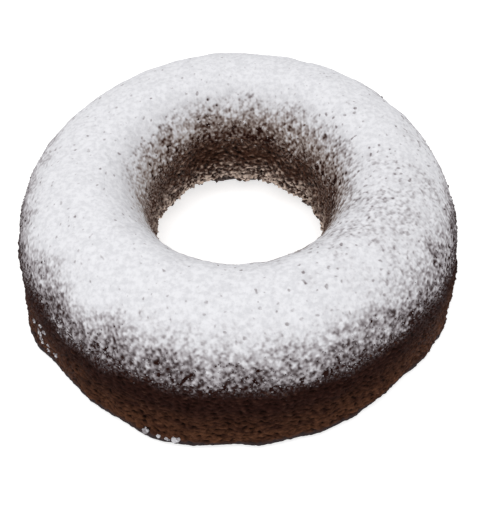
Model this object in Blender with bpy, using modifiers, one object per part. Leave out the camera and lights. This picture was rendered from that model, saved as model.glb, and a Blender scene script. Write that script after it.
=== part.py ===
"""A ring cake, baked in a rounded ring tin and turned out upside down: one closed solid.

Units are metres and +Z is up. The origin is the middle of the outline, on the surface that the cake
stands on. The cross-section is turned about the Z axis, and then made as uneven as baked dough is:
it swells and heaves a little round the ring, its foot spreads in places, and its bare lower walls
are craggy, most of all inside the hole, where the crumb tore from the tin.
"""

import bpy
import numpy as np

NAME = "ring_cake"

# Driving dimensions of the cross-section.
BASE_RADIUS = 0.1200
SHOULDER_RADIUS = 0.1168
SHOULDER_HEIGHT = 0.0215
CREST_RADIUS = 0.0755
CREST_HEIGHT = 0.0685
WAIST_RADIUS = 0.0453
WAIST_HEIGHT = 0.0165
HOLE_FOOT_RADIUS = 0.0550
FOOT_ROUNDING = 0.0030
FLARE_POWER = 1.5

# How finely each stretch of the section is divided, and how many sections stand round the ring.
DOME_STEPS = 12
WALL_STEPS = 4
ROUNDING_STEPS = 2
TURN_STEPS = 112

# Slow waves round the ring: how many go round, how high each is, and the direction it peaks in.
# Swells move the outer side out, draws move the hole's side in, and heaves lift the dome.
SWELLS = ((1, 0.0008, 151), (2, 0.0007, 116), (3, 0.0004, 348), (4, 0.0005, 353), (8, 0.0003, 20))
DRAWS = ((1, 0.0012, 259), (2, 0.0005, 56), (3, 0.0007, 41))
HEAVES = ((2, 0.0012, 54), (4, 0.0005, 300), (7, 0.0003, 150))

# Places where the foot spreads or is drawn in: direction and half-width in degrees, and reach.
FOOT_BULGES = ((254, 12, 0.0026), (236, 9, 0.0016), (312, 8, -0.0024), (150, 14, 0.0010))
FOOT_BULGE_HEIGHT = 0.010

# Crags: how far apart they are, and how deep on the dome, on the outer wall and inside the hole.
CRAG_SPACING = 0.017
CRAG_WAVES = 24
CRAG_SEED = 7
DOME_CRAGS = 0.0003
WALL_CRAGS = 0.0007
HOLE_CRAGS = 0.0014
BARE_HEIGHT = 0.020
BARE_FADE = 0.022

# The torn crumb low in the hole has finer crags on top of those.
TORN_SPACING = 0.009
TORN_SEED = 19
TORN_CRAGS = 0.0007

CRUST_COLOR = (0.055, 0.024, 0.012, 1.0)
CRUST_ROUGHNESS = 0.85


def clear_scene():
    for obj in list(bpy.data.objects):
        bpy.data.objects.remove(obj, do_unlink=True)


def arc(centre, spans, start, end, steps):
    """Points on an ellipse quarter, from one angle to another in degrees, without its first point."""
    angles = np.radians(np.linspace(start, end, steps + 1)[1:])
    radii = centre[0] + spans[0] * np.cos(angles)
    heights = centre[1] + spans[1] * np.sin(angles)
    return np.column_stack((radii, heights))


def outer_side():
    """Down the outer side: the dome, the wall that leans out a little, and the rounded foot."""
    dome = arc(
        (CREST_RADIUS, SHOULDER_HEIGHT),
        (SHOULDER_RADIUS - CREST_RADIUS, CREST_HEIGHT - SHOULDER_HEIGHT),
        90,
        0,
        DOME_STEPS,
    )
    fall = np.linspace(0, 1, WALL_STEPS + 1)[1:]
    wall = np.column_stack((
        SHOULDER_RADIUS + (BASE_RADIUS - SHOULDER_RADIUS) * fall,
        SHOULDER_HEIGHT + (FOOT_ROUNDING - SHOULDER_HEIGHT) * fall,
    ))
    foot = arc(
        (BASE_RADIUS - FOOT_ROUNDING, FOOT_ROUNDING),
        (FOOT_ROUNDING, FOOT_ROUNDING),
        0,
        -90,
        ROUNDING_STEPS,
    )
    return np.vstack((dome, wall, foot))


def inner_side():
    """Up the hole's side: the rounded foot, the flare in to the waist, and the dome to the crest."""
    start = (HOLE_FOOT_RADIUS + FOOT_ROUNDING, 0)
    foot = arc(
        (HOLE_FOOT_RADIUS + FOOT_ROUNDING, FOOT_ROUNDING),
        (FOOT_ROUNDING, FOOT_ROUNDING),
        270,
        180,
        ROUNDING_STEPS,
    )
    rise = np.linspace(0, 1, WALL_STEPS + 1)[1:]
    flare = np.column_stack((
        WAIST_RADIUS + (HOLE_FOOT_RADIUS - WAIST_RADIUS) * (1 - rise) ** FLARE_POWER,
        FOOT_ROUNDING + (WAIST_HEIGHT - FOOT_ROUNDING) * rise,
    ))
    dome = arc(
        (CREST_RADIUS, WAIST_HEIGHT),
        (CREST_RADIUS - WAIST_RADIUS, CREST_HEIGHT - WAIST_HEIGHT),
        180,
        90,
        DOME_STEPS,
    )
    return np.vstack((start, foot, flare, dome))


def turned_ring():
    """The cross-section as a closed loop of edges, turned once about the Z axis."""
    section = np.vstack((outer_side(), inner_side()))
    count = len(section)
    points = [(radius, 0.0, height) for radius, height in section]
    edges = [(index, (index + 1) % count) for index in range(count)]
    mesh = bpy.data.meshes.new(NAME)
    mesh.from_pydata(points, edges, [])
    ring = bpy.data.objects.new(NAME, mesh)
    collection = bpy.data.collections.new(NAME)
    bpy.context.scene.collection.children.link(collection)
    collection.objects.link(ring)
    turn = ring.modifiers.new("Turn", "SCREW")
    turn.axis = "Z"
    turn.steps = TURN_STEPS
    turn.render_steps = TURN_STEPS
    turn.use_smooth_shade = True
    bpy.context.view_layer.objects.active = ring
    bpy.ops.object.modifier_apply(modifier=turn.name)
    return ring


def waves_round(angle, waves):
    """The sum of cosines round the ring, each with its own count, height and direction of its peak."""
    return sum(height * np.cos(count * (angle - np.radians(peak))) for count, height, peak in waves)


def foot_spread(angle, height):
    """How far the foot stands out: a bell round each bulge's direction, dying away with height."""
    spread = np.zeros_like(angle)
    for direction, half_width, reach in FOOT_BULGES:
        away = np.angle(np.exp(1j * (angle - np.radians(direction))))
        spread += reach * np.exp(-((away / np.radians(half_width)) ** 2))
    return spread * np.exp(-((height / FOOT_BULGE_HEIGHT) ** 2))


def noise(points, spacing, seed):
    """Between about -2 and 2: a sum of plane waves that run in random directions through space."""
    random = np.random.default_rng(seed)
    directions = random.normal(size=(CRAG_WAVES, 3))
    directions /= np.linalg.norm(directions, axis=1)[:, None]
    lengths = spacing * random.uniform(0.7, 1.5, CRAG_WAVES)
    phases = random.uniform(0, 2 * np.pi, CRAG_WAVES)
    turns = points @ (2 * np.pi * directions / lengths[:, None]).T + phases
    return np.sin(turns).sum(axis=1) / np.sqrt(CRAG_WAVES)


def crags(points, radius, height):
    """Deep on the bare lower walls, deepest in the hole where the crumb is torn, shallow on the dome."""
    bare = np.clip((BARE_HEIGHT + BARE_FADE - height) / BARE_FADE, 0, 1)
    bare = bare * bare * (3 - 2 * bare)
    in_hole = radius < CREST_RADIUS
    wall = np.where(in_hole, HOLE_CRAGS, WALL_CRAGS)
    depth = DOME_CRAGS + (wall - DOME_CRAGS) * bare
    torn = TORN_CRAGS * bare * in_hole
    return depth * noise(points, CRAG_SPACING, CRAG_SEED) + torn * noise(points, TORN_SPACING, TORN_SEED)


def uneven(points):
    """The turned points, pushed out from the middle of the dough, with the base left flat."""
    radius = np.hypot(points[:, 0], points[:, 1])
    angle = np.arctan2(points[:, 1], points[:, 0])
    height = points[:, 2]
    across = radius - CREST_RADIUS
    above = np.maximum(height - SHOULDER_HEIGHT, 0)
    reach = np.hypot(across, above)
    push = crags(points, radius, height)
    outer = np.clip(across / (BASE_RADIUS - CREST_RADIUS), 0, 1)
    inner = np.clip(-across / (CREST_RADIUS - WAIST_RADIUS), 0, 1)
    new_radius = radius + push * across / reach
    new_radius += outer * (waves_round(angle, SWELLS) + foot_spread(angle, height))
    new_radius -= inner * waves_round(angle, DRAWS)
    new_height = height + push * above / reach
    new_height += waves_round(angle, HEAVES) * height / CREST_HEIGHT
    return np.column_stack((new_radius * np.cos(angle), new_radius * np.sin(angle), new_height))


def centred(points):
    """The points with the middle of their outline over the origin."""
    middle = (points.min(axis=0) + points.max(axis=0)) / 2
    middle[2] = 0
    return points - middle


def make_uneven(ring):
    vertices = ring.data.vertices
    points = np.empty(len(vertices) * 3)
    vertices.foreach_get("co", points)
    points = centred(uneven(points.reshape(-1, 3)))
    vertices.foreach_set("co", points.ravel())
    ring.data.update()


def crust_material():
    material = bpy.data.materials.new("crust")
    material.use_nodes = True
    shader = material.node_tree.nodes["Principled BSDF"]
    shader.inputs["Base Color"].default_value = CRUST_COLOR
    shader.inputs["Roughness"].default_value = CRUST_ROUGHNESS
    shader.inputs["Metallic"].default_value = 0.0
    return material


def main():
    clear_scene()
    ring = turned_ring()
    make_uneven(ring)
    ring.data.materials.append(crust_material())


main()
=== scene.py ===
"""The looks of a dark ring cake dusted with icing sugar, laid out as a Blender add-on.

Every large piece is a surface over two parameters: the angle round the ring, in radians, and the
place along the cross-section, in metres from the crest, positive down the outer side and negative
down the hole's side. The crust stands for the plain solid, and a pitted wall and a band of torn
crumb lie over its bare sides. The sugar lies on top as five thin coats that lap over each other
from the hole's throat to the skirt. Its loose grains and the crumbs of cake are small lumpy balls,
placed by the same two parameters.
"""

import bpy
import numpy as np
from bpy.props import FloatProperty, FloatVectorProperty, IntProperty, PointerProperty
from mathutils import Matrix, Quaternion, Vector


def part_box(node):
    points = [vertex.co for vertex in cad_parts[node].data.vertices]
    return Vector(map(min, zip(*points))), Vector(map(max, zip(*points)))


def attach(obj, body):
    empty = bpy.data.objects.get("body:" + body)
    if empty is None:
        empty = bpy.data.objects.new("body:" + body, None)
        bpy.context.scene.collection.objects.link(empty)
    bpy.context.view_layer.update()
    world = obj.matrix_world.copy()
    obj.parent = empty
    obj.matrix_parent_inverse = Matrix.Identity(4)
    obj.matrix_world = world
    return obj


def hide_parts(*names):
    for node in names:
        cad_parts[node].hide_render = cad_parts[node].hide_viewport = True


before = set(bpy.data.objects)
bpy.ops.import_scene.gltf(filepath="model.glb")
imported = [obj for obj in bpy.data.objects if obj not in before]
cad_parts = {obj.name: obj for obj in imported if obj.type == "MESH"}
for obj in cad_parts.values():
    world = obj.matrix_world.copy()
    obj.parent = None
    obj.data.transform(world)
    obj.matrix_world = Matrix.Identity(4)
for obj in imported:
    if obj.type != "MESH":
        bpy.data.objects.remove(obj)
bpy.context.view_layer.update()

bl_info = {
    "name": "Sugared Ring Cake",
    "version": (1, 0, 0),
    "blender": (4, 5, 0),
    "location": "View3D > Sidebar > Cake",
    "description": "Builds the crust, the icing sugar and the crumbs of a ring cake",
    "category": "Add Mesh",
}

NODE = "ring_cake"
BODY = "root"
LOW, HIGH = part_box(NODE)
BASE_RADIUS = round((HIGH.x - LOW.x) / 2, 3)

# The cross-section, as shares of the foot's radius: where the wall turns into the dome, the
# crest, the hole's narrow waist and the hole's foot.
SHOULDER_RADIUS = BASE_RADIUS * 0.9733
SHOULDER_HEIGHT = BASE_RADIUS * 0.1792
CREST_RADIUS = BASE_RADIUS * 0.6292
CREST_HEIGHT = BASE_RADIUS * 0.5708
WAIST_RADIUS = BASE_RADIUS * 0.3775
WAIST_HEIGHT = BASE_RADIUS * 0.1375
HOLE_FOOT_RADIUS = BASE_RADIUS * 0.4583
FOOT_ROUNDING = BASE_RADIUS * 0.025
FLARE_POWER = 1.5
BASE_HALF = (BASE_RADIUS - HOLE_FOOT_RADIUS) / 2

# Slow waves round the ring: how many go round, how high each is, and the direction it peaks in.
SWELLS = ((1, 0.0008, 151), (2, 0.0007, 116), (3, 0.0004, 348), (4, 0.0005, 353), (8, 0.0003, 20))
DRAWS = ((1, 0.0012, 259), (2, 0.0005, 56), (3, 0.0007, 41))
HEAVES = ((2, 0.0012, 54), (4, 0.0005, 300), (7, 0.0003, 150))

# Places where the outer side spreads or is drawn in, and where the hole does: direction and
# half-width in degrees, reach, and the height that it dies away over. The solid has fewer.
SOLID_BULGES = (
    (254, 12, 0.0026, 0.010),
    (236, 9, 0.0016, 0.010),
    (312, 8, -0.0024, 0.010),
    (150, 14, 0.0010, 0.010),
)
FOOT_BULGES = (
    (270, 60, 0.0007, 0.030),
    (35, 14, 0.0007, 0.060),
    (60, 12, -0.0008, 0.060),
    (120, 8, -0.0008, 0.060),
    (150, 14, 0.0010, 0.010),
    (188, 15, -0.0024, 0.030),
    (208, 5, 0.0025, 0.010),
    (223, 4, -0.0012, 0.010),
    (233, 4, 0.0011, 0.010),
    (239, 3, -0.0006, 0.010),
    (246, 6, 0.0014, 0.010),
    (254, 8, 0.0025, 0.010),
    (265.5, 3, -0.0016, 0.010),
    (274, 5, 0.0021, 0.010),
    (294, 4, 0.0013, 0.010),
    (299.5, 2.5, -0.0010, 0.010),
    (306, 9, -0.0011, 0.010),
    (312.6, 3.5, -0.0012, 0.010),
    (323, 3, -0.0006, 0.010),
    (328.5, 2, 0.0009, 0.010),
    (335, 6, -0.0012, 0.010),
    (348, 4, -0.0008, 0.010),
    (0, 5, 0.0034, 0.010),
)
HOLE_BULGES = ((14, 24, 0.0020, 0.035), (34, 8, 0.0014, 0.035), (182, 12, 0.0008, 0.060))

# Crags of the dough, which the solid has too.
CRAG_SPACING = 0.017
CRAG_WAVES = 24
CRAG_SEED = 7
DOME_CRAGS = 0.0003
WALL_CRAGS = 0.0007
HOLE_CRAGS = 0.0014
BARE_HEIGHT = 0.020
BARE_FADE = 0.022
TORN_SPACING = 0.009
TORN_SEED = 19
TORN_CRAGS = 0.0007

# How many plane waves make up ripples, and how far apart the points are that give a slope.
RIPPLE_WAVES = 120
NEARBY = 0.0003

# Seeds of the random patterns.
WALL_GRAIN, WALL_FINE = 31, 32
TORN_LINE, TORN_FLAKES, TORN_FINE, TORN_CAUGHT = 40, 41, 43, 45
SUGAR_DRIFTS = 51
SPECKLE_COARSE, SPECKLE_MIDDLE, SPECKLE_FINE, OPEN_PORES = 61, 62, 63, 64
SOFT_FINE, SOFT_BROAD = 71, 72
GRAIN_DRAWS, CRUMB_DRAWS = 83, 89

# The steepness, in degrees, at which half of the crust is covered on the outer side and on the
# hole's side, and the lobes that some directions add to it. A lobe is a direction and a
# half-width in degrees, and how much it adds.
OUTER_EDGE = 51.0
OUTER_EDGE_LOBES = (
    (170, 14, 2.0),
    (178, 14, 2.5),
    (197, 8, 4.5),
    (211, 6, -2.5),
    (212, 22, 3.5),
    (226, 8, 3.0),
    (303, 18, 1.5),
    (315, 8, -2.5),
    (336, 9, -1.5),
    (352, 30, 7.5),
    (5, 11, 7.0),
)
INNER_EDGE = 60.5
INNER_EDGE_LOBES = (
    (5, 22, -1.5),
    (36, 20, 3.0),
    (134, 18, 3.2),
    (192, 35, 9.0),
    (225, 25, 10.0),
    (325, 18, 4.0),
)

# Lobes of how much fuller the sugar lies on the dome, and of how open it lies on the hole's side.
FULLNESS_LOBES = ((95, 50, 0.25), (334, 34, -0.8))
OPENNESS_LOBES = ((14, 26, 1.6), (65, 30, 0.35), (130, 20, 0.5))
CAP_SHARPNESS = 3

# Lobes of the dust on the outer wall and in the hole.
WALL_DUST_LOBES = ((205, 20, 0.10), (327, 12, 0.10))
TORN_DUST_LOBES = ((180, 38, 1), (0, 35, 0.6))

# Where the bare outer wall begins and the torn crumb ends, along the section.
WALL_TOP = 0.046
TORN_TOP = -0.038

# How far a wall piece stands off the crust, how far its edges dip into it, and how far the crust
# is drawn back under it.
WALL_RISE = 0.0002
WALL_DIP = 0.0006
CRUST_DRAWN_BACK = 0.0017

# A piece's underside has every eighth row of a wall's outer surface or every tenth of a coat's,
# and it stays this far above the table.
WALL_BACKING_STEP = 8
COAT_BACKING_STEP = 10
TABLE_GAP = 0.0002

# The coats of sugar: each one's name, its steps round the ring, the stretch of the section that
# it covers, and its rows.
COATS = (
    ("sugar_throat", 950, -0.0630, -0.0400, 72),
    ("sugar_brink", 1180, -0.0400, -0.0100, 76),
    ("sugar_crest", 1180, -0.0100, 0.0220, 76),
    ("sugar_shoulder", 1270, 0.0220, 0.0460, 70),
    ("sugar_skirt", 1450, 0.0460, 0.0660, 60),
)

# A fallen clump: how many grains it has, how far apart they lie, how many times larger they are
# than the loose ones, and how much better covered.
CLUMP_GRAINS = 10
CLUMP_SPREAD = 0.0005
CLUMP_SIZE = 1.9
CLUMP_COVER = 0.8

FLOOR_WIDTH = 6
LAMP_WIDTH = 0.9
LAMP_PLACE = (-0.1, -0.15, 1.0)


def smooth_step(low, high, value):
    """0 below low and 1 above high, with a smooth cubic between."""
    share = np.clip((value - low) / (high - low), 0, 1)
    return share * share * (3 - 2 * share)


def hump(value, middle, half_width):
    """1 at the middle, falling to 0 on both sides of it, as a bell does."""
    return np.exp(-(((value - middle) / half_width) ** 2))


# ---------------------------------------------------------------- the form of the dough


def section_table():
    """The whole cross-section as closely spaced points, from the middle of the base and back to it.

    Ellipse quarters make the dome, a straight line the outer wall, a power curve the flare under
    the waist, and circle quarters the rounded feet. Returns the place along it, the radius and
    the height, with the place measured from the crest.
    """
    quarter = np.linspace(0, np.pi / 2, 400)
    stretch = np.linspace(0, 1, 200)
    wall_top = np.array((SHOULDER_RADIUS, SHOULDER_HEIGHT))
    wall_foot = np.array((BASE_RADIUS, FOOT_ROUNDING))
    base_middle = (BASE_RADIUS + HOLE_FOOT_RADIUS) / 2
    outer = np.vstack((
        np.column_stack((
            CREST_RADIUS + (SHOULDER_RADIUS - CREST_RADIUS) * np.sin(quarter),
            SHOULDER_HEIGHT + (CREST_HEIGHT - SHOULDER_HEIGHT) * np.cos(quarter),
        )),
        wall_top + (wall_foot - wall_top) * stretch[1:, None],
        np.column_stack((
            BASE_RADIUS - FOOT_ROUNDING * (1 - np.cos(quarter[1:])),
            FOOT_ROUNDING * (1 - np.sin(quarter[1:])),
        )),
        ((base_middle, 0.0),),
    ))
    inner = np.vstack((
        np.column_stack((
            CREST_RADIUS - (CREST_RADIUS - WAIST_RADIUS) * np.sin(quarter),
            WAIST_HEIGHT + (CREST_HEIGHT - WAIST_HEIGHT) * np.cos(quarter),
        )),
        np.column_stack((
            WAIST_RADIUS + (HOLE_FOOT_RADIUS - WAIST_RADIUS) * stretch[1:] ** FLARE_POWER,
            WAIST_HEIGHT + (FOOT_ROUNDING - WAIST_HEIGHT) * stretch[1:],
        )),
        np.column_stack((
            HOLE_FOOT_RADIUS + FOOT_ROUNDING * (1 - np.cos(quarter[1:])),
            FOOT_ROUNDING * (1 - np.sin(quarter[1:])),
        )),
        ((base_middle, 0.0),),
    ))
    both = np.vstack((inner[:0:-1], outer))
    lengths = np.hypot(*np.diff(both, axis=0).T)
    along = np.concatenate(((0.0,), np.cumsum(lengths)))
    return along - along[len(inner) - 1], both[:, 0], both[:, 1]


TABLE_ALONG, TABLE_RADIUS, TABLE_HEIGHT = section_table()


def section(along):
    """Radius and height of the cross-section at a place along it."""
    return (
        np.interp(along, TABLE_ALONG, TABLE_RADIUS),
        np.interp(along, TABLE_ALONG, TABLE_HEIGHT),
    )


def steepness(along):
    """Degrees between the section's normal and straight up: 0 on the crest, over 90 under the waist."""
    radius_before, height_before = section(along - NEARBY)
    radius_after, height_after = section(along + NEARBY)
    down = np.sign(along) * (height_before - height_after)
    return np.degrees(np.arctan2(down, radius_after - radius_before))


def waves_round(angle, waves):
    """The sum of cosines round the ring, each with its own count, height and direction of its peak."""
    return sum(height * np.cos(count * (angle - np.radians(peak))) for count, height, peak in waves)


def away_from(angle, direction):
    """Degrees between an angle and a direction, the short way round."""
    return np.degrees(np.angle(np.exp(1j * (angle - np.radians(direction)))))


def bell(angle, direction, half_width):
    """1 in a direction, falling to 0 on both sides of it, as a bell does. Both are in degrees."""
    return hump(away_from(angle, direction), 0, half_width)


def lobes(angle, parts):
    """The sum of bells round the ring, each with its direction, its half-width and its height."""
    return sum(height * bell(angle, direction, half_width) for direction, half_width, height in parts)


def spread(angle, height, bulges):
    """How far bulges stand out: a bell round each one's direction, dying away with height."""
    return sum(
        reach * bell(angle, direction, half_width) * hump(height, 0, fade)
        for direction, half_width, reach, fade in bulges
    )


def waves_through(points, spacing, seed, count):
    """Between about -2 and 2: a sum of plane waves that run in random directions through space."""
    random = np.random.default_rng(seed)
    directions = random.normal(size=(count, 3))
    directions /= np.linalg.norm(directions, axis=1)[:, None]
    lengths = spacing * random.uniform(0.7, 1.5, count)
    phases = random.uniform(0, 2 * np.pi, count)
    turns = (2 * np.pi * directions / lengths[:, None]).T.astype(points.dtype)
    return np.sin(points @ turns + phases.astype(points.dtype)).sum(axis=-1) / np.sqrt(count)


def bareness(height):
    """1 on the low walls, which hold no sugar, fading to 0 on the dome."""
    return smooth_step(0, 1, (BARE_HEIGHT + BARE_FADE - height) / BARE_FADE)


def dough(angle, along, bulges=FOOT_BULGES):
    """Points of the cake's form: the section turned round, swollen, heaved, spread and craggy."""
    angle, along = np.broadcast_arrays(angle, along)
    radius, height = section(along)
    points = np.stack((radius * np.cos(angle), radius * np.sin(angle), height), axis=-1)
    across = radius - CREST_RADIUS
    above = np.maximum(height - SHOULDER_HEIGHT, 0)
    reach = np.hypot(across, above)
    bare = bareness(height)
    in_hole = radius < CREST_RADIUS
    depth = DOME_CRAGS + (np.where(in_hole, HOLE_CRAGS, WALL_CRAGS) - DOME_CRAGS) * bare
    push = depth * waves_through(points, CRAG_SPACING, CRAG_SEED, CRAG_WAVES)
    push += TORN_CRAGS * bare * in_hole * waves_through(points, TORN_SPACING, TORN_SEED, CRAG_WAVES)
    outer = np.clip(across / (BASE_RADIUS - CREST_RADIUS), 0, 1)
    inner = np.clip(-across / (CREST_RADIUS - WAIST_RADIUS), 0, 1)
    radius = radius + push * across / reach
    radius += outer * (waves_round(angle, SWELLS) + spread(angle, height, bulges))
    radius -= inner * (waves_round(angle, DRAWS) - spread(angle, height, HOLE_BULGES))
    height = height + push * above / reach + waves_round(angle, HEAVES) * height / CREST_HEIGHT
    return np.stack((radius * np.cos(angle), radius * np.sin(angle), height), axis=-1)


def round_angles(count):
    """Evenly spaced angles round the ring, as a column."""
    return np.linspace(0, 2 * np.pi, count, endpoint=False)[:, None]


def middle_offset():
    """What brings the form over the solid, by the middle of its outline with the solid's bulges."""
    rim = dough(round_angles(720), np.linspace(0, TABLE_ALONG[-1], 90)[None, :], SOLID_BULGES)
    middle = (rim.min(axis=(0, 1)) + rim.max(axis=(0, 1))) / 2
    offset = np.array((LOW + HIGH) / 2) - middle
    offset[2] = 0
    return offset


OFFSET = middle_offset()


def raised(angle, along, height):
    """Points that stand a height off the form, along its outward normal.

    The normal is the cross product of the form's two tangents, each the difference between
    points a little way to either side.
    """
    turn = NEARBY / CREST_RADIUS
    round_the_ring = dough(angle + turn, along) - dough(angle - turn, along)
    down_the_section = dough(angle, along + NEARBY) - dough(angle, along - NEARBY)
    normal = np.cross(down_the_section, round_the_ring)
    normal /= np.linalg.norm(normal, axis=-1, keepdims=True)
    return dough(angle, along) + OFFSET + normal * np.asarray(height)[..., None]


def ripples(angle, along, size, seed, flatness=1):
    """A random value of unit spread at each place on the form, with features of about that size.

    It is a sum of plane waves through space, so that it has no seam and looks the same all over.
    flatness is how many times longer the features are round the ring than they are high.
    """
    points = (dough(angle, along) + OFFSET) * (1, 1, flatness)
    return np.sqrt(2) * waves_through(points.astype(np.float32), size, seed, RIPPLE_WAVES)


# ---------------------------------------------------------------- meshes


def mesh_object(name, points, faces, attributes, finish, body=BODY):
    """A smooth-shaded mesh with float values at its points, riding on a body."""
    mesh = bpy.data.meshes.new(name)
    corners = faces.shape[1]
    mesh.vertices.add(len(points))
    mesh.vertices.foreach_set("co", points.astype(np.float32).ravel())
    mesh.loops.add(faces.size)
    mesh.loops.foreach_set("vertex_index", faces.astype(np.int32).ravel())
    mesh.polygons.add(len(faces))
    mesh.polygons.foreach_set("loop_start", np.arange(0, faces.size, corners, dtype=np.int32))
    mesh.polygons.foreach_set("use_smooth", np.ones(len(faces), bool))
    mesh.update(calc_edges=True)
    mesh.validate()
    for attribute, values in attributes.items():
        layer = mesh.attributes.new(attribute, "FLOAT", "POINT")
        layer.data.foreach_set("value", values.astype(np.float32).ravel())
    mesh.materials.append(finish)
    piece = bpy.data.objects.new(name, mesh)
    bpy.context.scene.collection.objects.link(piece)
    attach(piece, body)
    return piece


def ring_faces(turns, rows):
    """Four-sided faces over a grid that closes on itself in both directions, facing outwards."""
    index = np.arange(turns * rows).reshape(turns, rows)
    next_turn = np.roll(index, -1, axis=0)
    corners = (index, np.roll(index, -1, axis=1), np.roll(next_turn, -1, axis=1), next_turn)
    return np.stack(corners, axis=-1).reshape(-1, 4)


def pebble():
    """A unit ball of 20 triangles: two poles, and two rings of five points, half a step apart."""
    step = np.arange(5)
    upper = step * 2 * np.pi / 5
    lower = upper + np.pi / 5
    ring, rise = 2 / np.sqrt(5), 1 / np.sqrt(5)
    points = np.vstack((
        ((0, 0, 1),),
        np.column_stack((ring * np.cos(upper), ring * np.sin(upper), np.full(5, rise))),
        np.column_stack((ring * np.cos(lower), ring * np.sin(lower), np.full(5, -rise))),
        ((0, 0, -1),),
    ))
    after = (step + 1) % 5
    faces = np.vstack((
        np.column_stack((np.zeros(5, int), 1 + step, 1 + after)),
        np.column_stack((1 + step, 6 + step, 1 + after)),
        np.column_stack((1 + after, 6 + step, 6 + after)),
        np.column_stack((np.full(5, 11), 6 + after, 6 + step)),
    ))
    return points, faces


def random_turns(random, count):
    """Random rotation matrices, from random unit quaternions."""
    turns = random.normal(size=(count, 4))
    w, x, y, z = turns.T / np.linalg.norm(turns, axis=1)
    return np.stack((
        1 - 2 * (y * y + z * z), 2 * (x * y - z * w), 2 * (x * z + y * w),
        2 * (x * y + z * w), 1 - 2 * (x * x + z * z), 2 * (y * z - x * w),
        2 * (x * z - y * w), 2 * (y * z + x * w), 1 - 2 * (x * x + y * y),
    ), axis=-1).reshape(count, 3, 3)


def pebbles(random, centres, radii):
    """One mesh of squashed, lumpy and turned balls, one at each centre."""
    ball, ball_faces = pebble()
    count = len(centres)
    squash = random.uniform(0.6, 1.25, (count, 1, 3))
    lumps = random.uniform(0.8, 1.2, (count, len(ball), 1))
    bodies = (ball * squash * lumps) @ random_turns(random, count)
    points = centres[:, None, :] + bodies * radii[:, None, None]
    faces = ball_faces + len(ball) * np.arange(count)[:, None, None]
    return points.reshape(-1, 3), faces.reshape(-1, 3)


# ---------------------------------------------------------------- how the sugar fell


def edge_steepness(angle, along):
    """The steepness, in degrees, at which half of the crust is covered."""
    outer = OUTER_EDGE + lobes(angle, OUTER_EDGE_LOBES)
    inner = INNER_EDGE + lobes(angle, INNER_EDGE_LOBES)
    return np.where(along > 0, outer, inner)


def capped(value, limit):
    """The value, held below the limit by a rounded corner: the limit, less the logarithm of one
    plus an exponential of how far the value lies below it."""
    return limit - np.log1p(np.exp(CAP_SHARPNESS * (limit - value))) / CAP_SHARPNESS


def sugar_level(angle, along, sugar):
    """How well the sugar covers, in spreads of the speckle: half covered at 0, bare at -3.

    It falls in a straight line with steepness, is capped on the dome, and wanders a little from
    place to place. A little of it lingers down the outer side before it ends, and on the hole's
    side it ends sooner and, in some directions, lies more open.
    """
    level = (edge_steepness(angle, along) - steepness(along)) / sugar.softness
    tail = 0.25 * hump(level, -1.0, 0.5) - 0.6 * smooth_step(-1.0, -1.8, level)
    opened = 0.5 * hump(level, 1.0, 0.7) * lobes(angle, OPENNESS_LOBES)
    thinned = 0.8 * smooth_step(-0.3, -1.3, level) + opened
    level = level + np.where(along > 0, tail, -thinned)
    full = sugar.fullness + lobes(angle, FULLNESS_LOBES)
    full = full - 0.35 * smooth_step(0.015, 0.035, along) * bell(angle, 187, 22)
    return capped(level, full) + 0.15 * ripples(angle, along, 0.018, SUGAR_DRIFTS)


def sugar_cover(angle, along, sugar):
    """Above 0 where the sugar shows, and below 0 where the crust does: its level plus a speckle,
    less a few open pores.

    The speckle is the sum of ripples of three sizes, with its lows held back, and is weaker where
    the sugar lies full and on the left. The pores are the lows of a fourth ripple, are deepest
    where the sugar lies full, and are commoner on the right.
    """
    outside = along > 0
    coarse = ripples(angle, along, sugar.speckle * 1.9, SPECKLE_COARSE)
    middle = ripples(angle, along, sugar.speckle, SPECKLE_MIDDLE)
    fine = ripples(angle, along, sugar.speckle * 0.6, SPECKLE_FINE)
    rareness = 1.55 - 0.35 * bell(angle, 345, 40)
    pores = np.clip(-rareness - ripples(angle, along, sugar.speckle * 1.6, OPEN_PORES), 0, 0.8)
    level = sugar_level(angle, along, sugar)
    calm = smooth_step(0.3, 1.2, level)
    speckle = np.where(outside, 1.0, 1.15) * (0.28 * coarse + 0.25 * middle + 0.05 * fine)
    speckle = speckle * (1 - 0.5 * calm) * (1 - 0.25 * bell(angle, 188, 24))
    speckle = np.maximum(speckle, np.where(outside, 0.5, 0.9) * speckle - 0.3)
    return level + speckle - (np.where(outside, 0.2, 0.4) + 1.4 * calm) * pores


def coat_height(angle, along, cover, sugar):
    """How far the sugar's surface stands off the crust: a soft layer, sunk where it doesn't cover."""
    soft = 0.12 * ripples(angle, along, 0.0035, SOFT_FINE)
    soft = soft + 0.10 * ripples(angle, along, 0.009, SOFT_BROAD)
    above = cover - sugar.bare
    shown = sugar.thickness * (smooth_step(0, 3, above) + soft * np.clip(above, 0, 1))
    return np.where(above > 0, shown, sugar.sink * np.clip(above, -1, 0))


# ---------------------------------------------------------------- materials


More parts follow.
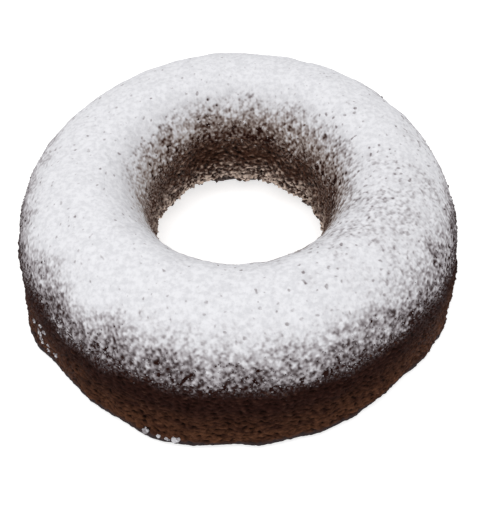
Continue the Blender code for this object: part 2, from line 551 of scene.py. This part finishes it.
class Nodes:
    """A material's node tree, with short ways to add nodes and to join them."""

    def __init__(self, name, roughness, specular):
        self.material = bpy.data.materials.new(name)
        self.material.use_nodes = True
        self.tree = self.material.node_tree
        self.shader = self.tree.nodes["Principled BSDF"]
        self.shader.inputs["Roughness"].default_value = roughness
        self.shader.inputs["Specular IOR Level"].default_value = specular

    def put(self, socket, value):
        """Joins an output to a socket, or sets the socket to a plain value."""
        if isinstance(value, bpy.types.NodeSocket):
            self.tree.links.new(value, socket)
        else:
            socket.default_value = value

    def add(self, kind, values, **settings):
        """A new node, with its settings, and with values or outputs put on its sockets."""
        node = self.tree.nodes.new(kind)
        for setting, value in settings.items():
            setattr(node, setting, value)
        for socket, value in values.items():
            self.put(node.inputs[socket], value)
        return node

    def place(self, stretch=(1, 1, 1)):
        """Object coordinates, stretched."""
        source = self.add("ShaderNodeTexCoord", {})
        return self.add(
            "ShaderNodeMapping", {"Vector": source.outputs["Object"], "Scale": stretch}
        ).outputs["Vector"]

    def noise(self, place, size, detail=2.0, roughness=0.5):
        """Noise with features of about the given size in metres."""
        return self.add(
            "ShaderNodeTexNoise",
            {"Vector": place, "Scale": 1 / size, "Detail": detail, "Roughness": roughness},
        ).outputs["Fac"]

    def ramp(self, value, low, high):
        """0 below low and 1 above high, smoothly, or the other way round if low is above high."""
        return self.add(
            "ShaderNodeMapRange",
            {"Value": value, "From Min": low, "From Max": high},
            interpolation_type="SMOOTHSTEP",
        ).outputs["Result"]

    def math(self, operation, first, second):
        """The sum, difference or product of two values."""
        return self.add("ShaderNodeMath", {0: first, 1: second}, operation=operation).outputs[0]

    def mix(self, share, first, second, blend="MIX"):
        """A colour between two colours, or their product."""
        node = self.add("ShaderNodeMix", {"Factor": share}, data_type="RGBA", blend_type=blend)
        self.put(node.inputs[6], first)
        self.put(node.inputs[7], second)
        return node.outputs[2]

    def attribute(self, name):
        """A value that the mesh holds at its points."""
        return self.add("ShaderNodeAttribute", {}, attribute_name=name).outputs["Fac"]

    def bump(self, height, distance, strength):
        """Bumps on top of the shader's normal."""
        node = self.add(
            "ShaderNodeBump", {"Height": height, "Distance": distance, "Strength": strength}
        )
        self.put(self.shader.inputs["Normal"], node.outputs["Normal"])


def colour(values):
    """A colour with full alpha."""
    return (*values, 1.0)


def crust_material(crust, sugar):
    """Baked crust: near black under the sugar, and redder towards the foot, where painted light bounced
    up from the table also makes it paler; paler on the hole's side, as painted light against the hole's
    shade; darker in its pits and paler on its peaks, as painted shade and painted highlight that
    follow the relief, with a random mottle; palest where the crumb is torn, mottled by a fine grain,
    with a painted shade, dark and cool, at its lowest rim, and with a dust of sugar where the coats
    thin out."""
    nodes = Nodes("baked_crust", roughness=0.95, specular=0.03)
    even = nodes.place()
    flat = nodes.place((1, 1, 2.2))
    flattest = nodes.place((1, 1, 3.5))
    inside = nodes.attribute("inside")
    height = nodes.add("ShaderNodeSeparateXYZ", {"Vector": even}).outputs["Z"]
    patch = nodes.noise(flattest, size=0.011, detail=4.0, roughness=0.65)
    # Redder and paler towards the foot: the crust's own redder colour there, made paler by painted light
    # bounced up from the table.
    warmth_and_bounce = nodes.math("MULTIPLY", nodes.ramp(height, 0.031, 0.003), nodes.ramp(patch, 0.26, 0.62))
    tone = nodes.mix(warmth_and_bounce, colour(crust.dark), colour(crust.warm_and_bounce))
    # The hole's side is paler: painted light that offsets the shade inside the hole.
    tone = nodes.mix(inside, tone, colour(crust.inside))
    mottle = nodes.math("SUBTRACT", nodes.noise(flat, size=0.0016, detail=3.0, roughness=0.7), 0.5)
    # peak is the relief's height with a random mottle: it paints highlight on the peaks and shade in the
    # pits.
    peak = nodes.math("ADD", nodes.attribute("peak"), nodes.math("MULTIPLY", mottle, 1.1))
    pale = nodes.mix(inside, colour(crust.light), colour(crust.speck_and_highlight))
    pale = nodes.mix(nodes.attribute("torn"), pale, colour(crust.crumb))
    tone = nodes.mix(nodes.ramp(peak, 0.10, 1.80), tone, pale)
    tone = nodes.mix(nodes.ramp(peak, 0.25, -0.95), tone, colour(crust.pore_shade_and_fleck))
    grain = nodes.ramp(nodes.noise(flat, size=0.0024, detail=3.0, roughness=0.7), 0.30, 0.70)
    shade = nodes.mix(grain, colour((0.62,) * 3), colour((1.38,) * 3))
    tone = nodes.mix(1.0, tone, shade, "MULTIPLY")
    # Painted shade: a dark, cool band on the lowest few millimetres of the crust, where the rounded foot
    # faces down to the table.
    rim = nodes.math("ADD", height, nodes.math("MULTIPLY", patch, -0.003))
    tone = nodes.mix(nodes.ramp(rim, 0.0052, 0.0024), tone, colour(crust.rim))
    fine = nodes.ramp(nodes.noise(even, size=0.0012, detail=2.0, roughness=0.7), 0.42, 0.68)
    dusty = nodes.math("MULTIPLY", nodes.attribute("dust"), fine)
    dust = nodes.mix(inside, colour(sugar.thin), colour(crust.dust))
    nodes.put(nodes.shader.inputs["Base Color"], nodes.mix(dusty, tone, dust))
    rough = nodes.noise(even, size=0.0009, detail=3.0, roughness=0.65)
    nodes.bump(rough, distance=0.0005, strength=0.6)
    return nodes.material


def sugar_material(crust, sugar):
    """Icing sugar: matt and nearly white, and darker where it is so thin that the crust shows. On the
    hole's side the thin sugar has a warm tint, painted light bounced off the brown walls.
    """
    nodes = Nodes("dusting", roughness=0.95, specular=0.05)
    even = nodes.place()
    inside = nodes.attribute("inside")
    fine = nodes.noise(even, size=0.0011, detail=3.0, roughness=0.65)
    jitter = nodes.math("MULTIPLY", nodes.math("SUBTRACT", fine, 0.5), 0.8)
    shown = nodes.math("ADD", nodes.attribute("cover"), jitter)
    full = nodes.ramp(shown, sugar.bare - 0.2, sugar.bare + 3.3)
    below = nodes.mix(inside, colour(crust.dark), colour(crust.inside))
    # On the hole's side the thin sugar takes a warm tint: painted light bounced off the brown walls.
    thin = nodes.mix(inside, colour(sugar.thin), colour(sugar.warm_and_bounce))
    tone = nodes.mix(nodes.ramp(full, 0.0, 0.5), below, thin)
    mottle = nodes.ramp(nodes.noise(even, size=0.0026, detail=3.0, roughness=0.6), 0.32, 0.66)
    white = nodes.mix(mottle, colour(sugar.shade), colour(sugar.white))
    tone = nodes.mix(nodes.ramp(full, 0.3, 1.0), tone, white)
    nodes.put(nodes.shader.inputs["Base Color"], tone)
    nodes.bump(fine, distance=0.0003, strength=0.35)
    return nodes.material


def material(name, crust, sugar):
    """The material of that name, made the first time that it is asked for."""
    makers = {"baked_crust": crust_material, "dusting": sugar_material}
    return bpy.data.materials.get(name) or makers[name](crust, sugar)


# ---------------------------------------------------------------- settings


class CrustSettings(bpy.types.PropertyGroup):
    """The crust, the torn crumb and the crumbs"""

    pits: FloatProperty(
        name="Pits", description="Depth of the pores in the wall", default=0.0005, unit="LENGTH"
    )
    tears: FloatProperty(
        name="Tears", description="Depth of the torn crumb", default=0.0007, unit="LENGTH"
    )
    thickness: FloatProperty(
        name="Thickness", description="Thickness of the wall pieces", default=0.003, unit="LENGTH"
    )
    dark: FloatVectorProperty(
        name="Dark crust", description="Crust under the sugar", subtype="COLOR",
        default=(0.023, 0.0082, 0.0060), min=0, max=1,
    )
    # The crust's own redder colour towards the foot, with painted light bounced up from the table.
    warm_and_bounce: FloatVectorProperty(
        name="Warm crust", description="Crust towards the foot", subtype="COLOR",
        default=(0.100, 0.041, 0.021), min=0, max=1,
    )
    # Pale crust on the peaks of the relief: painted highlight, with a random mottle.
    light: FloatVectorProperty(
        name="Light crust", description="Peaks of the crust", subtype="COLOR",
        default=(0.130, 0.066, 0.042), min=0, max=1,
    )
    # Paler crust on the hole's side: painted light that offsets the shade inside the hole.
    inside: FloatVectorProperty(
        name="Inside", description="Crust on the hole's side", subtype="COLOR",
        default=(0.060, 0.026, 0.016), min=0, max=1,
    )
    # Pale specks on the peaks of the hole's side: partly painted highlight, partly random flakes.
    speck_and_highlight: FloatVectorProperty(
        name="Specks", description="Peaks of the hole's side", subtype="COLOR",
        default=(0.40, 0.28, 0.215), min=0, max=1,
    )
    # The torn crumb's own pale colour, laid most on the peaks of its relief, so partly painted
    # highlight.
    crumb: FloatVectorProperty(
        name="Light crumb", description="Peaks of the torn crumb", subtype="COLOR",
        default=(0.80, 0.65, 0.55), min=0, max=1,
    )
    dust: FloatVectorProperty(
        name="Dust", description="Dust of sugar and crumb on the hole's side", subtype="COLOR",
        default=(0.42, 0.33, 0.29), min=0, max=1,
    )
    # Painted shade on the rounded foot, which faces down to the table.
    rim: FloatVectorProperty(
        name="Rim", description="Lowest edge of the crust", subtype="COLOR",
        default=(0.042, 0.031, 0.032), min=0, max=1,
    )
    # Painted shade at the bottoms of the pits, and dark flecks where the mottle runs low.
    pore_shade_and_fleck: FloatVectorProperty(
        name="Pores", description="Bottoms of the pores", subtype="COLOR",
        default=(0.007, 0.003, 0.002), min=0, max=1,
    )
    crumbs: IntProperty(name="Crumbs", description="Loose crumbs", default=1500, min=0)
    crumb_size: FloatProperty(
        name="Crumb size", description="Usual radius of a crumb", default=0.0005, unit="LENGTH"
    )


class SugarSettings(bpy.types.PropertyGroup):
    """The coats of icing sugar and its grains"""

    thickness: FloatProperty(
        name="Thickness", description="Thickness of a full coat", default=0.0004, unit="LENGTH"
    )
    sink: FloatProperty(
        name="Sink", description="Depth of the coat under bare crust", default=0.0009, unit="LENGTH"
    )
    backing: FloatProperty(
        name="Backing", description="Depth of the coat's underside", default=0.0018, unit="LENGTH"
    )
    bare: FloatProperty(
        name="Bare", description="Cover below which the crust is bare", default=-1.6
    )
    lap: FloatProperty(
        name="Lap", description="How far the coats lap over each other", default=0.0013, unit="LENGTH"
    )
    softness: FloatProperty(
        name="Softness", description="Degrees of steepness per spread of speckle", default=15.0
    )
    fullness: FloatProperty(
        name="Fullness", description="Cover on the dome, in spreads of speckle", default=1.5
    )
    speckle: FloatProperty(
        name="Speckle", description="Usual width of two speckles", default=0.0020, unit="LENGTH"
    )
    grains: IntProperty(name="Grains", description="Loose grains", default=6000, min=0)
    fallen: IntProperty(name="Fallen", description="Clumps that fell on the foot", default=17, min=0)
    grain_size: FloatProperty(
        name="Grain size", description="Usual radius of a grain", default=0.0003, unit="LENGTH"
    )
    white: FloatVectorProperty(
        name="Sugar", description="Full coat", subtype="COLOR",
        default=(0.87, 0.87, 0.90), min=0, max=1,
    )
    shade: FloatVectorProperty(
        name="Shaded sugar", description="Duller patches of a full coat", subtype="COLOR",
        default=(0.74, 0.74, 0.77), min=0, max=1,
    )
    thin: FloatVectorProperty(
        name="Thin sugar", description="Sugar thin enough to see through", subtype="COLOR",
        default=(0.35, 0.32, 0.335), min=0, max=1,
    )
    # Painted light bounced off the brown walls, tinting the thin sugar on the hole's side.
    warm_and_bounce: FloatVectorProperty(
        name="Warm sugar", description="Thin sugar on the hole's side", subtype="COLOR",
        default=(0.36, 0.295, 0.265), min=0, max=1,
    )


class StageSettings(bpy.types.PropertyGroup):
    """The camera, the light and the table top"""

    distance: FloatProperty(
        name="Distance", description="Camera to the middle of the base", default=0.4629, unit="LENGTH"
    )
    elevation: FloatProperty(
        name="Elevation", description="Camera above the table",
        default=np.radians(50.57), unit="ROTATION",
    )
    roll: FloatProperty(
        name="Roll", description="Tilt of the camera", default=np.radians(-1.2), unit="ROTATION"
    )
    lens: FloatProperty(name="Lens", description="Focal length in millimetres", default=56.0)
    aim: FloatVectorProperty(
        name="Aim", description="Point at the middle of the view", subtype="XYZ",
        default=(0.0023, -0.0050, -0.0041),
    )
    key: FloatProperty(name="Key light", description="Watts of the light overhead", default=6.0)
    surround: FloatProperty(name="Surround", description="Strength of the light all round", default=0.48)
    floor: FloatVectorProperty(
        name="Floor", description="Table top", subtype="COLOR", default=(0.6, 0.6, 0.6), min=0, max=1
    )
    glow: FloatProperty(name="Glow", description="Light from the table top itself", default=0.7)


# ---------------------------------------------------------------- operators


def settings_of(context):
    """The crust's and the sugar's settings."""
    return context.scene.ring_cake_crust, context.scene.ring_cake_sugar


def wall_height(relief, edge):
    """How far a wall piece stands off the form: its relief and a slight rise, dipping at its edges."""
    return relief * edge + WALL_RISE * edge - WALL_DIP * (1 - edge)


def shell(name, turns, rows, backing_step, depth, top, values, finish):
    """A closed piece over a stretch of the section: its outer surface, and back along its underside.

    top is the height of the outer surface off the form, and depth how far below the form the
    underside lies. values are float attributes of the outer surface, and 0 on the underside.
    """
    angle = round_angles(turns)
    outside = raised(angle, rows[None, :], top)
    outside[..., 2] = np.maximum(outside[..., 2], 0)
    back_rows = rows[None, ::-backing_step]
    inside = raised(angle, back_rows, np.full((turns, back_rows.shape[1]), -depth))
    inside[..., 2] = np.maximum(inside[..., 2], TABLE_GAP)
    points = np.concatenate((outside, inside), axis=1)
    blank = np.zeros(inside.shape[:2])
    layers = {
        key: np.concatenate((np.broadcast_to(value, outside.shape[:2]), blank), axis=1)
        for key, value in values.items()
    }
    faces = ring_faces(*points.shape[:2])
    return mesh_object(name, points.reshape(-1, 3), faces, layers, finish)


class RingCakeCrust(bpy.types.Operator):
    """Make the crust, a ring closed on itself, in place of the plain solid"""

    bl_idname = "ring_cake.crust"
    bl_label = "Crust"

    def execute(self, context):
        crust, sugar = settings_of(context)
        turns = 480
        first, last = TABLE_ALONG[0], TABLE_ALONG[-1]
        along = np.concatenate((
            np.linspace(first, first + BASE_HALF, 4, endpoint=False),
            np.linspace(first + BASE_HALF, last - BASE_HALF, 110, endpoint=False),
            np.linspace(last - BASE_HALF, last, 4, endpoint=False),
        ))[None, :]
        covered = smooth_step(0.052, 0.056, along) + 1.5 * smooth_step(-0.046, -0.050, along)
        drawn_back = np.repeat(-CRUST_DRAWN_BACK * covered, turns, axis=0)
        points = raised(round_angles(turns), along, drawn_back)
        points[..., 2] = np.where(section(along)[1] <= 0, 0, np.maximum(points[..., 2], 0))
        none = np.zeros(points.shape[:2])
        piece = mesh_object(
            "crust",
            points.reshape(-1, 3),
            ring_faces(*points.shape[:2]),
            {"dust": none, "torn": none, "peak": none, "inside": none},
            material("baked_crust", crust, sugar),
        )
        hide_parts(NODE)
        return {"FINISHED"}


class RingCakeWall(bpy.types.Operator):
    """Make the bare outer wall, pitted with pores that run round the ring"""

    bl_idname = "ring_cake.wall"
    bl_label = "Outer wall"

    def execute(self, context):
        crust, sugar = settings_of(context)
        turns = 1400
        rows = np.linspace(WALL_TOP, TABLE_ALONG[-1] - BASE_HALF, 60)
        angle, along = round_angles(turns), rows[None, :]
        grain = ripples(angle, along, 0.0036, WALL_GRAIN, 2.2)
        fine = ripples(angle, along, 0.0019, WALL_FINE, 1.6)
        relief = 0.5 * grain + 0.22 * fine - 0.6 * np.clip(-0.8 - grain, 0, 1)
        edge = smooth_step(WALL_TOP, WALL_TOP + 0.006, along)
        edge = edge * smooth_step(rows[-1] + 0.001, rows[-1] - 0.004, along)
        dust = smooth_step(-2.1, 0.3, sugar_level(angle, along, sugar))
        piece = shell(
            "outer_wall", turns, rows, WALL_BACKING_STEP, crust.thickness,
            wall_height(crust.pits * relief, edge),
            {
                "dust": dust + lobes(angle, WALL_DUST_LOBES),
                "torn": np.zeros_like(relief),
                "inside": np.zeros_like(relief),
                # The relief's height, which paints highlight on the peaks and shade in the pits.
                "peak": relief * 0.50,
            },
            material("baked_crust", crust, sugar),
        )
        return {"FINISHED"}


class RingCakeTornCrumb(bpy.types.Operator):
    """Make the hole's side, which is finely grained at the top and torn lower down"""

    bl_idname = "ring_cake.torn_crumb"
    bl_label = "Torn crumb"

    def execute(self, context):
        crust, sugar = settings_of(context)
        turns = 900
        rows = np.linspace(TABLE_ALONG[0] + BASE_HALF, TORN_TOP, 84)
        angle, along = round_angles(turns), rows[None, :]
        sides = lobes(angle, TORN_DUST_LOBES)
        height = section(along)[1] + 0.0015 * ripples(angle, along, 0.020, TORN_LINE) - 0.008 * sides
        torn = smooth_step(0.0305, 0.0130, height)
        flakes = ripples(angle, along, 0.0048, TORN_FLAKES, 2.2)
        fine = ripples(angle, along, 0.0020, TORN_FINE, 1.3)
        caught = ripples(angle, along, 0.0036, TORN_CAUGHT, 1.9)
        relief = flakes * (0.35 + 0.45 * torn) + fine * 0.60
        edge = smooth_step(TORN_TOP, TORN_TOP - 0.006, along)
        edge = edge * smooth_step(rows[0] - 0.001, rows[0] + 0.003, along)
        dust = smooth_step(-2.2, 0.3, sugar_level(angle, along, sugar))
        # Partly the relief's height, which paints highlight on the peaks and shade in the pits, and
        # partly random flakes of paler crumb.
        peak = (relief * 0.45 + caught * (0.35 + 0.75 * torn)) * (1 - 0.5 * sides)
        piece = shell(
            "torn_crumb", turns, rows, WALL_BACKING_STEP, crust.thickness,
            wall_height(crust.tears * relief * (0.4 + 0.6 * torn), edge),
            {
                "dust": dust + 0.50 * torn + 0.55 * sides,
                "torn": torn,
                "inside": np.ones_like(relief),
                "peak": peak + 0.65 * torn - 0.10,
            },
            material("baked_crust", crust, sugar),
        )
        return {"FINISHED"}


def coat(name, turns, first, last, row_count, crust, sugar):
    """A coat of sugar over a stretch of the section and a lap beyond, where it dips under the next."""
    rows = np.linspace(first - sugar.lap, last + sugar.lap, row_count)
    angle, along = round_angles(turns), rows[None, :]
    cover = sugar_cover(angle, along, sugar)
    dip = smooth_step(first, first - sugar.lap, along) + smooth_step(last, last + sugar.lap, along)
    piece = shell(
        name, turns, rows, COAT_BACKING_STEP, sugar.backing,
        coat_height(angle, along, cover, sugar) - sugar.sink * dip,
        {"cover": cover, "inside": np.where(along < 0, smooth_step(0.012, 0.036, -along), 0)},
        material("dusting", crust, sugar),
    )


class RingCakeSugarCoat(bpy.types.Operator):
    """Dust the cake with five coats, from the throat in the hole over the dome to the skirt"""

    bl_idname = "ring_cake.sugar_coat"
    bl_label = "Sugar coat"

    def execute(self, context):
        crust, sugar = settings_of(context)
        for name, turns, first, last, row_count in COATS:
            coat(name, turns, first, last, row_count, crust, sugar)
        return {"FINISHED"}


def scatter(random, count, first, last, weight):
    """Random angles and places, more of them where the weight, from 0 to 1, is larger."""
    angles, places = [], []
    found = 0
    while found < count:
        angle = random.uniform(0, 2 * np.pi, count)
        along = random.uniform(first, last, count)
        wide = section(along)[0] / BASE_RADIUS
        kept = random.uniform(0, 1, count) < weight(angle, along) * wide
        angles.append(angle[kept])
        places.append(along[kept])
        found += kept.sum()
    return np.concatenate(angles)[:count], np.concatenate(places)[:count]


class RingCakeSugarGrains(bpy.types.Operator):
    """Scatter loose grains of sugar where the coats thin out, and a few clumps on the foot"""

    bl_idname = "ring_cake.sugar_grains"
    bl_label = "Sugar grains"

    def execute(self, context):
        crust, sugar = settings_of(context)
        random = np.random.default_rng(GRAIN_DRAWS)

        def thin(angle, along):
            return hump(sugar_level(angle, along, sugar), -0.7, 0.5)

        def spilled(angle, along):
            height = section(along)[1]
            low = hump(height, 0.0038, 0.0018) * bell(angle, 250, 5)
            high = hump(height, 0.0115, 0.0070) * bell(angle, 212, 4)
            return low + 0.12 * high

        loose = scatter(random, sugar.grains, -0.0660, 0.0700, thin)
        fallen = scatter(random, sugar.fallen, 0.0500, 0.0860, spilled)
        fallen = np.repeat(fallen, CLUMP_GRAINS, axis=1)
        fallen += random.normal(0, CLUMP_SPREAD, fallen.shape) / ((BASE_RADIUS,), (1,))
        angle, along = np.concatenate((loose, fallen), axis=1)
        radii = sugar.grain_size * random.lognormal(0, 0.35, len(angle))
        radii[sugar.grains :] *= CLUMP_SIZE
        cover = random.uniform(-1.3, 0.0, len(angle))
        cover[sugar.grains :] += CLUMP_COVER
        centres = raised(angle, along, 0.2 * radii)
        points, faces = pebbles(random, centres, radii)
        corners = len(points) // len(along)
        piece = mesh_object(
            "sugar_grains",
            points,
            faces,
            {"cover": np.repeat(cover, corners), "inside": np.repeat(along < 0, corners)},
            material("dusting", crust, sugar),
        )
        return {"FINISHED"}


class RingCakeCrumbs(bpy.types.Operator):
    """Scatter crumbs of cake on the torn crumb low in the hole, on the wall and on the foot"""

    bl_idname = "ring_cake.crumbs"
    bl_label = "Crumbs"

    def execute(self, context):
        crust, sugar = settings_of(context)
        random = np.random.default_rng(CRUMB_DRAWS)

        def weight(angle, along):
            height = section(along)[1]
            return np.where(along < 0, smooth_step(0.026, 0.004, height), 0.1 * (height < 0.003))

        angle, along = scatter(random, crust.crumbs, -0.0760, 0.0860, weight)
        radii = crust.crumb_size * random.lognormal(0, 0.4, crust.crumbs)
        centres = raised(angle, along, np.zeros(crust.crumbs))
        centres[:, 2] = np.maximum(centres[:, 2], 1.3 * radii)
        points, faces = pebbles(random, centres, radii)
        corners = len(points) // len(along)
        torn = np.repeat(along < 0, corners)
        peak = np.repeat(random.uniform(-0.6, 1.0, crust.crumbs), corners)
        piece = mesh_object(
            "crumbs",
            points,
            faces,
            {"torn": torn, "inside": torn, "peak": peak, "dust": np.zeros(len(points))},
            material("baked_crust", crust, sugar),
        )
        return {"FINISHED"}


class RingCakeStage(bpy.types.Operator):
    """Set the floor, the soft light and the camera"""

    bl_idname = "ring_cake.stage"
    bl_label = "Stage"

    def execute(self, context):
        stage = context.scene.ring_cake_stage
        scene = context.scene
        scene.view_settings.view_transform = "Standard"
        self.floor(scene, stage)
        self.lights(scene, stage)
        self.camera(scene, stage)
        return {"FINISHED"}

    def floor(self, scene, stage):
        """A plain table top that glows a little, so that it stays pale."""
        bpy.ops.mesh.primitive_plane_add(size=FLOOR_WIDTH)
        floor = bpy.context.object
        floor.name = "floor"
        nodes = Nodes("floor", roughness=0.9, specular=0.0)
        nodes.put(nodes.shader.inputs["Base Color"], colour(stage.floor))
        nodes.put(nodes.shader.inputs["Emission Color"], (1, 1, 1, 1))
        nodes.put(nodes.shader.inputs["Emission Strength"], stage.glow)
        floor.data.materials.append(nodes.material)

    def lights(self, scene, stage):
        """Even light all round, and a wide lamp overhead."""
        world = bpy.data.worlds.new("surround")
        world.use_nodes = True
        background = world.node_tree.nodes["Background"]
        background.inputs["Color"].default_value = (1, 1, 1, 1)
        background.inputs["Strength"].default_value = stage.surround
        scene.world = world
        lamp = bpy.data.lights.new("key", "AREA")
        lamp.size = LAMP_WIDTH
        lamp.energy = stage.key
        key = bpy.data.objects.new("key", lamp)
        key.location = LAMP_PLACE
        key.rotation_euler = (-key.location).to_track_quat("-Z", "Y").to_euler()
        scene.collection.objects.link(key)

    def camera(self, scene, stage):
        """The camera, above the front of the table."""
        lens = bpy.data.cameras.new("camera")
        lens.lens = stage.lens
        lens.clip_start = 0.01
        camera = bpy.data.objects.new("camera", lens)
        camera.location = stage.distance * Vector(
            (0, -np.cos(stage.elevation), np.sin(stage.elevation))
        )
        look = (Vector(stage.aim) - camera.location).to_track_quat("-Z", "Y")
        camera.rotation_mode = "QUATERNION"
        camera.rotation_quaternion = look @ Quaternion((0, 0, 1), stage.roll)
        scene.collection.objects.link(camera)
        scene.camera = camera


class RingCakePanel(bpy.types.Panel):
    """Lists the pieces of the cake in the order that they are made"""

    bl_idname = "VIEW3D_PT_ring_cake"
    bl_label = "Ring cake"
    bl_space_type = "VIEW_3D"
    bl_region_type = "UI"
    bl_category = "Cake"

    def draw(self, context):
        for operator in OPERATORS:
            self.layout.operator(operator.bl_idname)
        for setting in SETTINGS:
            group = getattr(context.scene, setting)
            for name in group.__annotations__:
                self.layout.prop(group, name)


SETTINGS = {
    "ring_cake_crust": CrustSettings,
    "ring_cake_sugar": SugarSettings,
    "ring_cake_stage": StageSettings,
}
OPERATORS = (
    RingCakeCrust,
    RingCakeWall,
    RingCakeTornCrumb,
    RingCakeSugarCoat,
    RingCakeSugarGrains,
    RingCakeCrumbs,
    RingCakeStage,
)


def register():
    """Adds the settings, the operators and the panel to Blender."""
    for name, settings in SETTINGS.items():
        bpy.utils.register_class(settings)
        setattr(bpy.types.Scene, name, PointerProperty(type=settings))
    for operator in OPERATORS:
        bpy.utils.register_class(operator)
    bpy.utils.register_class(RingCakePanel)


def unregister():
    """Takes the panel, the operators and the settings out again."""
    bpy.utils.unregister_class(RingCakePanel)
    for operator in reversed(OPERATORS):
        bpy.utils.unregister_class(operator)
    for name, settings in reversed(SETTINGS.items()):
        delattr(bpy.types.Scene, name)
        bpy.utils.unregister_class(settings)


def main():
    """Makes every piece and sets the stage."""
    register()
    bpy.ops.ring_cake.crust()
    bpy.ops.ring_cake.wall()
    bpy.ops.ring_cake.torn_crumb()
    bpy.ops.ring_cake.sugar_coat()
    bpy.ops.ring_cake.sugar_grains()
    bpy.ops.ring_cake.crumbs()
    bpy.ops.ring_cake.stage()


if __name__ == "__main__":
    main()
